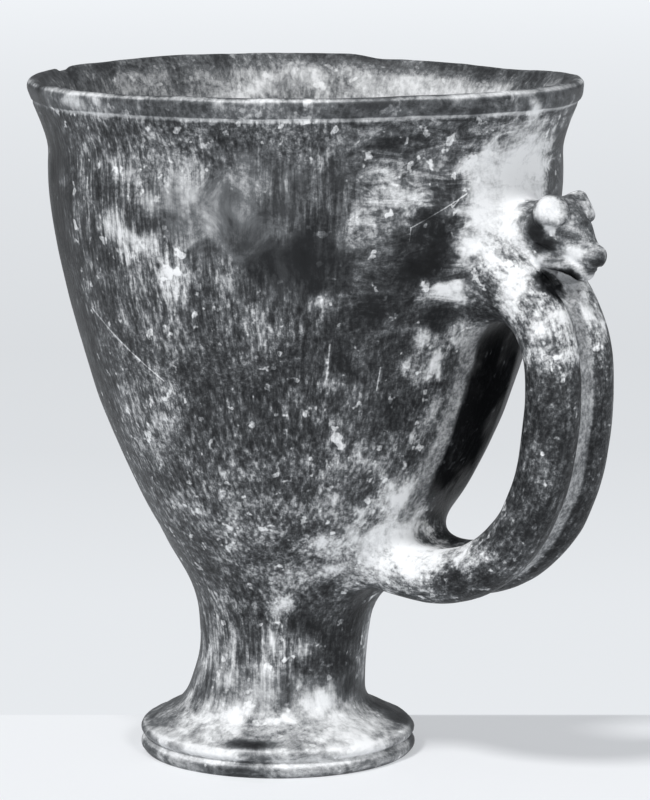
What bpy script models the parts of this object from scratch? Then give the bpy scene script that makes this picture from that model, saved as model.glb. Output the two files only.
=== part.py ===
"""Footed drinking goblet of burnished clay, with one handle of two joined rolls and an animal's head on top.

The goblet is one fired piece. It stands on the flat underside of its foot, which is centred on the origin,
and the handle reaches along +X. Sizes are in metres, with +Z up.
"""

import math

import bmesh
import bpy
from mathutils import Vector

# Driving sizes of the turned body
HEIGHT = 0.180
FOOT_RADIUS = 0.0364
FOOT_EDGE = 0.0075
LOWER_BAND_BULGE = 0.0010
UPPER_BAND_BULGE = 0.0014
STEM_RADIUS = 0.0222
STEM_WAIST = 0.027
NECK_RADIUS = 0.0669
NECK_DROP = 0.0180
RIM_RADIUS = 0.0720
WALL = 0.0046
LIP_THICKNESS = 0.0034
HOLLOW_DEPTH = 0.130
LEAN = 0.0094

# Driving sizes of the handle
ROLL_RADIUS = 0.0070
ROLL_SPACING = 0.0150
CHANNEL_DEPTH = 0.0021
HANDLE_TOP = 0.136
HANDLE_LOW = 0.0545
HANDLE_STANDOFF = 0.0183
ROOT_SPREAD = 0.0060

# Driving sizes of the animal's head
HEAD_LENGTH = 0.0340
EAR_RADIUS = 0.0043
EAR_LENGTH = 0.0062
EAR_SPAN = 0.0160

# How finely the round shapes are cut into facets
CURVE_CUTS = 8
BAND_STEPS = 4
LIP_TURNS = 6
TURNS = 56
BODY_STEPS = 32
HOLLOW_STEPS = 15
ROUTE_STEPS = 34
HEAD_STEPS = 13
HEAD_TURNS = 20
EAR_TURNS = 14

# The foot's two rounded bands: share of the edge's height at which each starts and ends, and its bulge
FOOT_BANDS = ((0.0, 0.48, LOWER_BAND_BULGE), (0.52, 1.0, UPPER_BAND_BULGE))

# The outline from the foot's edge in to the stem's waist: (share of the way out, share of the way up)
FOOT_OUTLINE = ((0.95, 0.012), (0.81, 0.052), (0.64, 0.118), (0.475, 0.172), (0.33, 0.222), (0.21, 0.30),
                (0.125, 0.40), (0.075, 0.55), (0.025, 0.78), (0.0, 1.0))

# The outline from the stem's waist up to the neck below the lip: (share of the way out, share of the way up)
BOWL_OUTLINE = ((0.006, 0.045), (0.035, 0.096), (0.121, 0.156), (0.25, 0.222), (0.416, 0.304), (0.557, 0.393),
                (0.703, 0.511), (0.853, 0.674), (0.945, 0.80), (0.992, 0.90), (1.0, 0.955), (0.998, 1.0))

# The flare from the neck to the lip: (share of the way out, share of the way up)
LIP_OUTLINE = ((0.29, 0.375), (0.67, 0.69), (0.95, 0.92))

# How far the body's axis has drifted towards the handle: (share of the height, share of the lean)
DRIFT = ((0.0, 0.0), (0.04, 0.0), (0.07, -0.13), (0.15, 0.19), (0.21, 0.25), (0.267, 0.47), (0.333, 0.70),
         (0.40, 0.875), (0.50, 0.95), (1.0, 1.0))

# How fully the hollow's floor is rounded, and how closely its rings crowd towards the floor
FLOOR_ROUNDNESS = 2.5
FLOOR_CROWDING = 1.35

# One roll's section, as turns in degrees from outward: from the channel's edge round to the web inside
ROLL_TURNS = (-34, -5, 25, 52, 78, 104, 130, 156, 182, 208)

# How much of the spread at the handle's roots goes sideways
ROOT_WIDENING = 0.15

# The handle's centre line, from its root at the top: (share of the way out from the wall, share of the way up)
UPPER_ROUTE = ((-0.26, 1.0), (0.12, 0.950), (0.50, 0.905), (0.785, 0.834), (0.965, 0.730), (1.0, 0.595))
LOWER_ROUTE = ((0.972, 0.436), (0.945, 0.350), (0.90, 0.272), (0.836, 0.190), (0.744, 0.117), (0.634, 0.058),
               (0.50, 0.018), (0.335, 0.0), (0.15, 0.012), (-0.05, 0.05), (-0.22, 0.10))

# Sections through the head from its neck in the wall to its nose, as shares of the head's length:
# (how far out from the wall, how far up from the handle's root, half width, half depth)
HEAD_SECTIONS = ((-0.19, 0.15, 0.33, 0.31), (0.02, 0.15, 0.290, 0.275), (0.19, 0.195, 0.238, 0.235),
                 (0.345, 0.27, 0.225, 0.225), (0.470, 0.300, 0.222, 0.210), (0.568, 0.222, 0.188, 0.168),
                 (0.638, 0.132, 0.148, 0.131), (0.703, 0.048, 0.125, 0.114), (0.742, -0.004, 0.112, 0.104),
                 (0.764, -0.032, 0.075, 0.070))

# The ears: (how far out, how far up) in head lengths, the way that the near one faces, and its height to width
EAR_PLACE = (0.565, 0.455)
EAR_FACING = (0.75, 0.50, 0.43)
EAR_FLATNESS = 0.86

# Sections through an ear from its flat end: (share of its length, share of its radius)
EAR_SECTIONS = ((0.0, 0.82), (0.15, 1.0), (0.40, 0.96), (1.0, 0.62))

CLAY_COLOUR = (0.13, 0.135, 0.14, 1.0)
CLAY_ROUGHNESS = 0.45


def clear_scene():
    """Removes whatever the file held."""
    for thing in list(bpy.data.objects):
        bpy.data.objects.remove(thing, do_unlink=True)


def curve_at(stations, place):
    """A smooth curve through the stations, read at a place counted in stations from the first."""
    index = min(int(place), len(stations) - 2)
    share = place - index
    before = stations[max(index - 1, 0)]
    start, end = stations[index], stations[index + 1]
    after = stations[min(index + 2, len(stations) - 1)]
    point = []
    for p, a, b, q in zip(before, start, end, after):
        slope_a, slope_b = (b - p) / 2, (q - a) / 2
        cube = 2 * a - 2 * b + slope_a + slope_b
        square = 3 * b - 3 * a - 2 * slope_a - slope_b
        point.append(((cube * share + square) * share + slope_a) * share + a)
    return point


def sample_curve(stations, steps):
    """Points at even distances along the smooth curve through the stations."""
    cuts = steps * CURVE_CUTS
    fine = [curve_at(stations, place * (len(stations) - 1) / cuts) for place in range(cuts + 1)]
    reached = [0.0]
    for a, b in zip(fine, fine[1:]):
        reached.append(reached[-1] + math.dist(a[:2], b[:2]))
    points, index = [], 0
    for step in range(steps + 1):
        wanted = reached[-1] * step / steps
        while index < len(fine) - 2 and reached[index + 1] < wanted:
            index += 1
        gap = reached[index + 1] - reached[index]
        share = (wanted - reached[index]) / gap if gap else 0.0
        points.append([a + (b - a) * share for a, b in zip(fine[index], fine[index + 1])])
    return points


def between(pairs, value):
    """The second number of the pairs, read at a value of the first by straight lines."""
    for (low, a), (high, b) in zip(pairs, pairs[1:]):
        if value <= high:
            return a + (b - a) * max(value - low, 0.0) / (high - low)
    return pairs[-1][1]


def drift_at(height):
    """How far the axis lies towards +X at a height."""
    return LEAN * between(DRIFT, height / HEIGHT)


def foot_edge():
    """The foot's edge, from its underside up over both rounded bands."""
    points = []
    for start, end, bulge in FOOT_BANDS:
        for step in range(BAND_STEPS + 1):
            share = step / BAND_STEPS
            inset = bulge * (2 * share - 1) ** 2
            points.append((FOOT_RADIUS - inset, FOOT_EDGE * (start + (end - start) * share)))
    return points


def side_outline():
    """The outside from the top of the foot's edge to just under the lip's round top."""
    edge_radius, lip_height = FOOT_RADIUS - UPPER_BAND_BULGE, HEIGHT - LIP_THICKNESS / 2
    neck_height = HEIGHT - NECK_DROP
    parts = ((FOOT_OUTLINE, (STEM_RADIUS, FOOT_EDGE), (edge_radius, STEM_WAIST)),
             (BOWL_OUTLINE, (STEM_RADIUS, STEM_WAIST), (NECK_RADIUS, neck_height)),
             (LIP_OUTLINE, (NECK_RADIUS, neck_height), (RIM_RADIUS, lip_height)))
    stations = []
    for shares, (near, low), (far, high) in parts:
        stations += [(near + (far - near) * out, low + (high - low) * up) for out, up in shares]
    stations.append((RIM_RADIUS, lip_height))
    last = len(stations) - 1
    return [curve_at(stations, last * step / BODY_STEPS) for step in range(BODY_STEPS + 1)]


def lip_round():
    """The lip's round top, from outside to inside."""
    half = LIP_THICKNESS / 2
    points = []
    for step in range(1, LIP_TURNS):
        turn = math.pi * step / LIP_TURNS
        points.append((RIM_RADIUS - half + half * math.cos(turn), HEIGHT - half + half * math.sin(turn)))
    return points


def inset_outline(depth):
    """The side's outline moved in by a depth, square to its own slope."""
    line = side_outline()
    points = []
    for index, (radius, height) in enumerate(line):
        a, b = line[max(index - 1, 0)], line[min(index + 1, len(line) - 1)]
        slope = Vector((b[0] - a[0], b[1] - a[1])).normalized()
        points.append((radius - depth * slope.y, height + depth * slope.x))
    return points


def radius_at(points, height):
    """The radius of an outline at a height."""
    return between([(up, out) for out, up in sorted(points, key=lambda point: point[1])], height)


def hollow_outline(depth, floor):
    """The inside of the bowl at a depth below the outside, from under the lip down to its rounded floor."""
    inner = inset_outline(depth)
    top = HEIGHT - LIP_THICKNESS
    points = []
    for step in range(HOLLOW_STEPS + 1):
        share = step / HOLLOW_STEPS
        height = floor + (top - floor) * (1 - share) ** FLOOR_CROWDING
        radius = min(radius_at(inner, height), RIM_RADIUS - LIP_THICKNESS)
        low = max(0.0, 1 - (height - floor) / STEM_RADIUS)
        points.append((radius * math.sqrt(max(0.0, 1 - low ** FLOOR_ROUNDNESS)), height))
    return points[:-1] + [(0.0, floor)]


def add_mesh(name, rows, helper=False):
    """A closed object from rows of points, each row joined to the next and round to its own start.

    A row of one point is a pole, and closes the surface there.
    """
    mesh = bpy.data.meshes.new(name)
    shape = bmesh.new()
    made = [[shape.verts.new(point) for point in row] for row in rows]
    for low, high in zip(made, made[1:]):
        count = max(len(low), len(high))
        for index in range(count):
            after = (index + 1) % count
            if len(low) == 1:
                shape.faces.new((low[0], high[after], high[index]))
            elif len(high) == 1:
                shape.faces.new((low[index], low[after], high[0]))
            else:
                shape.faces.new((low[index], low[after], high[after], high[index]))
    bmesh.ops.recalc_face_normals(shape, faces=shape.faces)
    bmesh.ops.triangulate(shape, faces=shape.faces)
    shape.to_mesh(mesh)
    shape.free()
    mesh.shade_smooth()
    obj = bpy.data.objects.new(name, mesh)
    bpy.context.scene.collection.objects.link(obj)
    if helper:
        obj.hide_render = True
        obj.display_type = 'WIRE'
    return obj


def turned_row(radius, height):
    """One ring of the leaning body."""
    centre = drift_at(height)
    if radius == 0.0:
        return [Vector((centre, 0.0, height))]
    turns = [2 * math.pi * (index + 0.5) / TURNS for index in range(TURNS)]
    return [Vector((centre + radius * math.cos(turn), radius * math.sin(turn), height)) for turn in turns]


def vessel():
    """Foot, stem and hollow bowl, turned as one piece."""
    outline = [(0.0, 0.0)] + foot_edge() + side_outline() + lip_round()
    outline += hollow_outline(WALL, HEIGHT - HOLLOW_DEPTH)
    return add_mesh("goblet", [turned_row(radius, height) for radius, height in outline])


def wall_core(name):
    """What lies inside the middle of the bowl's wall. It keeps the handle and the head out of the bowl."""
    floor = HEIGHT - HOLLOW_DEPTH - WALL / 2
    outline = [(0.0, HEIGHT + WALL)] + hollow_outline(WALL / 2, floor)
    return add_mesh(name, [turned_row(radius, height) for radius, height in outline], helper=True)


def wall_at(height):
    """How far along +X the outside of the wall is at a height."""
    return drift_at(height) + radius_at(side_outline(), height)


def handle_route():
    """The handle's centre line, as (x, z) stations."""
    rise = HANDLE_TOP - HANDLE_LOW
    top_wall, low_wall = wall_at(HANDLE_TOP), wall_at(HANDLE_LOW)
    outermost = top_wall + HANDLE_STANDOFF
    stations = [(top_wall + (outermost - top_wall) * out, HANDLE_LOW + rise * up) for out, up in UPPER_ROUTE]
    stations += [(low_wall + (outermost - low_wall) * out, HANDLE_LOW + rise * up) for out, up in LOWER_ROUTE]
    return sample_curve(stations, ROUTE_STEPS)


def roll_section():
    """Half of the handle's section: (sideways, outward) points of one roll and of the channel beside it."""
    middle = ROLL_SPACING / 2
    points = [(0.0, ROLL_RADIUS - CHANNEL_DEPTH)]
    for angle in ROLL_TURNS:
        turn = math.radians(angle)
        points.append((middle + ROLL_RADIUS * math.sin(turn), ROLL_RADIUS * math.cos(turn)))
    points.append((0.0, CHANNEL_DEPTH / 2 - ROLL_RADIUS))
    return points


def whole_section():
    """The handle's closed section, one roll and then the other."""
    half = roll_section()
    return half + [(-side, out) for side, out in half[-2:0:-1]]


def handle():
    """Two joined rolls swept from the top root round to the low root, spreading where they meet the wall."""
    route = handle_route()
    section = whole_section()
    reached = [0.0]
    for a, b in zip(route, route[1:]):
        reached.append(reached[-1] + math.dist(a, b))
    rows = []
    for index, (x, z) in enumerate(route):
        a, b = route[max(index - 1, 0)], route[min(index + 1, len(route) - 1)]
        along = Vector((b[0] - a[0], 0.0, b[1] - a[1])).normalized()
        outward = Vector((-along.z, 0.0, along.x))
        from_root = min(reached[index], reached[-1] - reached[index]) / (2 * ROLL_RADIUS)
        spread = ROOT_SPREAD * math.exp(-from_root ** 2)
        row = []
        for side, out in section:
            wide = side * (1 + ROOT_WIDENING * spread / ROLL_RADIUS)
            thick = out * (1 + spread / ROLL_RADIUS)
            row.append(Vector((x, wide, z)) + outward * thick)
        rows.append(row)
    first, last = route[0], route[-1]
    rows.insert(0, [Vector((first[0], 0.0, first[1]))])
    rows.append([Vector((last[0], 0.0, last[1]))])
    return add_mesh("handle rolls", rows, helper=True)


def head_point(out, up):
    """A place in the handle's plane, counted in head lengths from the wall at the handle's top."""
    return Vector((wall_at(HANDLE_TOP) + HEAD_LENGTH * out, 0.0, HANDLE_TOP + HEAD_LENGTH * up))


def head():
    """The animal's neck, skull and muzzle, lofted from the wall to its nose."""
    sections = sample_curve(HEAD_SECTIONS, HEAD_STEPS)
    rows = []
    for index, (out, up, half_width, half_depth) in enumerate(sections):
        a, b = sections[max(index - 1, 0)], sections[min(index + 1, len(sections) - 1)]
        along = Vector((b[0] - a[0], 0.0, b[1] - a[1])).normalized()
        above = Vector((-along.z, 0.0, along.x))
        row = []
        for step in range(HEAD_TURNS):
            turn = 2 * math.pi * step / HEAD_TURNS
            offset = Vector((0.0, half_width * math.cos(turn), 0.0)) + above * half_depth * math.sin(turn)
            row.append(head_point(out, up) + offset * HEAD_LENGTH)
        rows.append(row)
    rows.insert(0, [head_point(*sections[0][:2])])
    rows.append([head_point(*sections[-1][:2])])
    return add_mesh("head and neck", rows, helper=True)


def ears():
    """Two short round ears on the brow, flat in front and facing forward and out."""
    made = []
    for side, name in ((-1, "near ear"), (1, "far ear")):
        outward = Vector((EAR_FACING[0], side * EAR_FACING[1], EAR_FACING[2])).normalized()
        across = outward.cross(Vector((0.0, 0.0, 1.0))).normalized()
        upright = across.cross(outward)
        tip = head_point(*EAR_PLACE) + Vector((0.0, side * EAR_SPAN / 2, 0.0))
        rows = [[tip]]
        for inward, size in EAR_SECTIONS:
            ring = []
            for step in range(EAR_TURNS):
                turn = 2 * math.pi * step / EAR_TURNS
                round_it = across * math.cos(turn) + upright * EAR_FLATNESS * math.sin(turn)
                ring.append(tip - outward * EAR_LENGTH * inward + round_it * EAR_RADIUS * size)
            rows.append(ring)
        rows.append([tip - outward * EAR_LENGTH])
        made.append(add_mesh(name, rows, helper=True))
    return made


def add_boolean(obj, other, operation):
    """Joins another object to this one, or cuts it away."""
    modifier = obj.modifiers.new(operation.title() + " " + other.name, 'BOOLEAN')
    modifier.operation = operation
    modifier.object = other
    modifier.solver = 'EXACT'


def clay_material():
    """Dark burnished clay."""
    material = bpy.data.materials.new("burnished clay")
    material.use_nodes = True
    shader = material.node_tree.nodes["Principled BSDF"]
    shader.inputs["Base Color"].default_value = CLAY_COLOUR
    shader.inputs["Roughness"].default_value = CLAY_ROUGHNESS
    shader.inputs["Metallic"].default_value = 0.0
    return material


def main():
    clear_scene()
    body = vessel()
    body.data.materials.append(clay_material())
    core = wall_core("inside of the wall")
    rolls, head_form = handle(), head()
    for form in (rolls, head_form):
        add_boolean(form, core, 'DIFFERENCE')
    for form in [rolls, head_form] + ears():
        add_boolean(body, form, 'UNION')


main()
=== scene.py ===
"""The looks of a footed drinking goblet of burnished clay, laid out as an add-on.

Lengths are in metres unless a name says otherwise. The goblet stands on the origin and its handle
reaches along +X. The clay body is turned by Geometry Nodes, the handle and the animal's head are
modelled as one smooth field, and both are joined into one fired piece.
"""

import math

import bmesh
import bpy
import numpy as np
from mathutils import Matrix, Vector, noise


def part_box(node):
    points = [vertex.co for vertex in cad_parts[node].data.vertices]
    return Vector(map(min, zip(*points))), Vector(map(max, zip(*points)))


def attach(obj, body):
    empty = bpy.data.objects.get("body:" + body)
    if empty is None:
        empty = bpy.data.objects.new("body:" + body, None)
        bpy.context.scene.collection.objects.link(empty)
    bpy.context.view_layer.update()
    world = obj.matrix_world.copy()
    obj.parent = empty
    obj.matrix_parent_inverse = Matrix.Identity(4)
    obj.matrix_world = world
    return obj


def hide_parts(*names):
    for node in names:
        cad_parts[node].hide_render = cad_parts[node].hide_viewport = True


bl_info = {
    "name": "Burnished Goblet",
    "version": (1, 0, 0),
    "blender": (4, 5, 0),
    "location": "3D View > Sidebar > Goblet",
    "description": "Builds a burnished clay goblet with a handle of two rolls and an animal's head",
    "category": "Add Mesh",
}

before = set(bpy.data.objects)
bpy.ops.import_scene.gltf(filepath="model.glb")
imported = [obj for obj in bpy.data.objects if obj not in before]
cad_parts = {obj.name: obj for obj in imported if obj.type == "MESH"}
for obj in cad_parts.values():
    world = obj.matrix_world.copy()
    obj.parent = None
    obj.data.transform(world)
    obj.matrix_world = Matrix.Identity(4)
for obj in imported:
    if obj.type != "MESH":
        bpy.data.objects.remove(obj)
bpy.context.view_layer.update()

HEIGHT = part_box("goblet")[1].z
MM = 0.001

# Turned body
FOOT_RADIUS = 0.0364
FOOT_EDGE = 0.0075
STEM_RADIUS = 0.0222
STEM_WAIST = 0.027
NECK_RADIUS = 0.0669
NECK_DROP = 0.0180
RIM_RADIUS = 0.0720
WALL = 0.0046
LIP_THICKNESS = 0.0034
HOLLOW_DEPTH = 0.130
LEAN = 0.0094
RIM_LINE_DROP = 0.0057
FLOOR_ROUNDNESS = 2.5
LOWER_BAND_BULGE = 0.0010
UPPER_BAND_BULGE = 0.0014

# Handle
ROLL_RADIUS = 0.0070
ROLL_SPACING = 0.0150
CHANNEL_DEPTH = 0.0021
UNDERSIDE_DEPTH = 0.0010
HANDLE_TOP = 0.136
HANDLE_LOW = 0.0545
HANDLE_STANDOFF = 0.0183
ROOT_SPREAD = 0.0045
ROOT_FILLET = 0.0080
NECK_FILLET = 0.0050
THROAT_FILLET = 0.0010
THROAT_ZONE = (0.080, 0.087)
CHANNEL_FILLET = 0.0005
ROOT_WIDENING = 0.15
SKIRT = 0.00025

# How finely the clay is meshed
TURNS = 236
BODY_SPACING = 0.0019
EDGE_SPACING = 0.0005
INNER_SPACING = 0.0026
FINE_ZONE = 0.006
SPACING_GROWTH = 0.3
INNER_GROWTH = 0.2
UNDERSIDE_ROWS = 14
BAND_ROWS = 9
LIP_ROWS = 9
LIP_SWEEP = (15, 165)
ROUTE_SPACING = 0.0012
TABLE_STEP = 0.0004
PROFILE_LOW = (0.0, -0.012)
PROFILE_HIGH = (0.112, 0.200)
ROUTE_LOW = (0.020, 0.030)
ROUTE_HIGH = (0.112, 0.172)
COARSE_CELL = 0.00085
FINE_CELL = 0.00042
HANDLE_TRIANGLES = 82000
SLOPE_REACH = 0.00015
WELD = 0.00004
FAR_AWAY = 0.03

# The handle's grid along x, y and z: its start and end, and those of its fine stretch at the head
HANDLE_GRID = ((0.013, 0.106, 0.0835, 0.1055), (-0.028, 0.028, -0.0138, 0.0138),
               (0.030, 0.172, 0.1265, 0.1585))

# Where the head can be: beyond this x and above this z
HEAD_ZONE = (0.062, 0.118)

# Relief of the hand-made surface: (height, width of its lumps, seed)
SOFT_UNEVENNESS = (0.00032, 0.034, 1)
FINE_UNEVENNESS = (0.00010, (0.007, 0.007, 0.022), 2)
RIM_LINE_WIDTH = 0.00036
RIM_LINE_DEPTH = 0.00030
RIM_LINE_SWAY = 0.0002
LEDGE_HEIGHT = 0.00035
LEDGE_RISE = 0.0014
RIM_ZONE = 0.022
RIM_SWAY = 0.00045
RIM_DIP = 0.0011
RIM_DROP = 0.0003
CHIP_AZIMUTH = -166
CHIP_EDGES = (4.2, 2.6)
CHIP_DEPTH = 0.0009

# The foot's two rounded bands: share of the edge's height at which each starts and ends, and its bulge
FOOT_BANDS = ((0.0, 0.48, LOWER_BAND_BULGE), (0.52, 1.0, UPPER_BAND_BULGE))

# Pale lines that the turning left on the foot's edge: (share of the edge's height, change of the cover)
FOOT_BEADS = ((0.18, 0.05), (0.44, 0.18), (0.62, 0.10), (0.94, 0.16))

# The outline from the foot's edge in to the stem's waist: (share of the way out, share of the way up)
FOOT_OUTLINE = ((0.95, 0.012), (0.81, 0.052), (0.64, 0.118), (0.475, 0.172), (0.33, 0.222), (0.21, 0.30),
                (0.125, 0.40), (0.075, 0.55), (0.025, 0.78), (0.0, 1.0))

# The outline from the stem's waist up to the neck: (share of the way out, share of the way up)
BOWL_OUTLINE = ((0.006, 0.045), (0.035, 0.096), (0.121, 0.156), (0.25, 0.222), (0.416, 0.304),
                (0.557, 0.393), (0.703, 0.511), (0.853, 0.674), (0.945, 0.80), (0.992, 0.90),
                (1.0, 0.955), (0.998, 1.0))

# The flare from the neck to the lip: (share of the way out, share of the way up)
LIP_OUTLINE = ((0.29, 0.375), (0.67, 0.69), (0.95, 0.92))

# How far the body's axis has drifted towards the handle: (share of the height, share of the lean)
DRIFT = ((0.0, 0.0), (0.04, 0.0), (0.07, -0.13), (0.15, 0.19), (0.21, 0.25), (0.267, 0.47), (0.333, 0.70),
         (0.40, 0.875), (0.50, 0.95), (1.0, 1.0))

# The handle's centre line, from its top root: (share of the way out from the wall, share of the way up)
UPPER_ROUTE = ((-0.26, 1.0), (0.12, 0.950), (0.50, 0.905), (0.785, 0.834), (0.965, 0.730), (1.0, 0.595))
LOWER_ROUTE = ((0.972, 0.436), (0.945, 0.350), (0.90, 0.272), (0.836, 0.190), (0.744, 0.117),
               (0.634, 0.058), (0.50, 0.018), (0.335, 0.0), (0.15, 0.012), (-0.05, 0.05), (-0.22, 0.10))

# The head's forms. Places are (out, sideways, up) from the skull's middle, and one side stands for both.
SKULL = np.array((0.0890, 0.0, 0.1455))
SKULL_RADII = (0.0072, 0.0072, 0.0068)
NECK_FORM = ((-0.0190, 0.0, -0.0035), 0.0098, (-0.0050, 0.0, -0.0005), 0.0070)
CHEEK_FORM = ((-0.0018, 0.0034, -0.0020), (0.0056, 0.0044, 0.0046))
MUZZLE_FORM = ((0.0040, 0.0, -0.0029), 0.0050, (0.0090, 0.0, -0.0068), 0.0034)
NOSE_FORM = ((0.0106, 0.0, -0.0060), (0.0023, 0.0029, 0.0023))
JAW_FORM = ((-0.0030, 0.0036, -0.0064), 0.0030, (0.0062, 0.0016, -0.0094), 0.0022)
CHIN_FORM = ((0.0066, 0.0, -0.0107), (0.0028, 0.0027, 0.0019))
BROW_FORM = ((0.0005, 0.0, 0.0046), 0.0026, (0.0005, 0.0060, 0.0056), 0.0030)
EAR_MIDDLE = (0.0038, 0.0080, 0.0058)
EAR_FACING = (0.75, 0.50, 0.43)
EAR_RADIUS = 0.0042
EAR_LENGTH = 0.0066
EAR_ROUND = 0.0021
EAR_CUP = (0.0026, 0.0007)
EYE_FORM = ((0.0020, 0.0062, 0.0002), (0.0012, 0.0012, 0.0011))
NOSTRIL = ((0.0128, 0.0014, -0.0058), 0.0006, 0.0005)
JAW_SLIT = ((-0.0028, 0.0070, -0.0026), (0.0024, 0.0070, -0.0061), 0.0008, 0.0008)
MOUTH = ((0.0060, 0.0045, -0.0078), (0.0116, 0.0, -0.0092), 0.0006, 0.0009)
THROATS = (((0.0008, 0.0042, -0.0122), (0.0040, 0.0038, 0.0022)),
           ((0.0030, 0.0020, -0.0142), (0.0038, 0.0042, 0.0036)))
HEAD_BLEND = 0.0022

# The camera that the photograph was taken with
CAMERA_TURN = 37.0
CAMERA_TILT = 9.228
CAMERA_DISTANCE = 1.0590
CAMERA_SIDE = 0.01245
CAMERA_HEIGHT = 0.26556
CAMERA_LENS = 183.04

# Light: (degrees from the camera's azimuth, elevation and softness in degrees)
KEY_LIGHT = (-36, 50, 10)
SECOND_LIGHT = (26, 30, 14)
SECOND_SHARE = 0.5
SKY_COLOUR = (0.93, 0.96, 1.0, 1.0)

# Floor, and the paper ground behind the goblet
FLOOR_COLOUR = (0.89, 0.905, 0.925, 1.0)
FLOOR_GLOW = (0.84, 0.86, 0.89, 1.0)
GLOW_SHARE = 0.40
FLOOR_DROP = 0.00005
FLOOR_SIDES = 96
PAPER_EDGE = (0.0335, 0.0350)
PAPER_TINT = (0.965, 0.995, 1.03)

# The paper ground's brightness: (share of its depth behind the goblet, brightness)
PAPER_DEPTH = 3.1
PAPER_TONES = ((0.012, 0.83), (0.06, 0.82), (0.147, 0.745), (0.23, 0.73), (0.42, 0.77), (1.0, 0.90))

# Lime in general, as shares of a full cover, and the widths of the lines that it draws; the crest's line is
# partly a painted highlight and the loop's cover is a painted shade
BASE_COVER = 0.455
CLOUD_COVER = 0.08
CLOUD_WIDTH = 0.020
HEAD_COVER = 0.06
HOLLOW_COVER = 0.03
STRAP_COVER = -0.09
RIM_LINE_COVER = 0.30
RIM_LINE_LIME = 0.00040
# The lip's crest: partly wear and partly a painted highlight
CREST_HIGHLIGHT_AND_WEAR = 0.26
CREST_DROP = 0.0006
CREST_WIDTH = 0.0005
BEAD_WIDTH = 0.00050
# Painted shade: how far the cover drops on the wall inside the handle's loop
LOOP_PAINTED_SHADE = -0.45
MOST_COVER = 0.95
RAGGEDNESS = 0.85
RAG_WIDTH = 0.0065
RAGGED_LIMITS = (0.22, 2.4)

# What the material adds to the cover: streaks, spots, clouds, flecks and scratches
STREAK_SWING = 0.52
SPOT_SWING = 0.26
CLOUD_SWING = 0.36
FLECK_LIFT = 0.28
SCRATCH_LIFT = 0.26
RAW_LEVEL = 0.64
RAW_SPOTS = 0.30
RAW_CLOUDS = 0.26
STRAP_STREAK_LENGTH = 0.30
BURNISHED_ROUGHNESS = 0.42
LIME_ROUGHNESS = 0.82
SHEEN = 0.12
BUMP_STRENGTH = 0.5
BUMP_DISTANCE = 0.0004
UNROLLED_DEGREE = 0.0010
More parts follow.
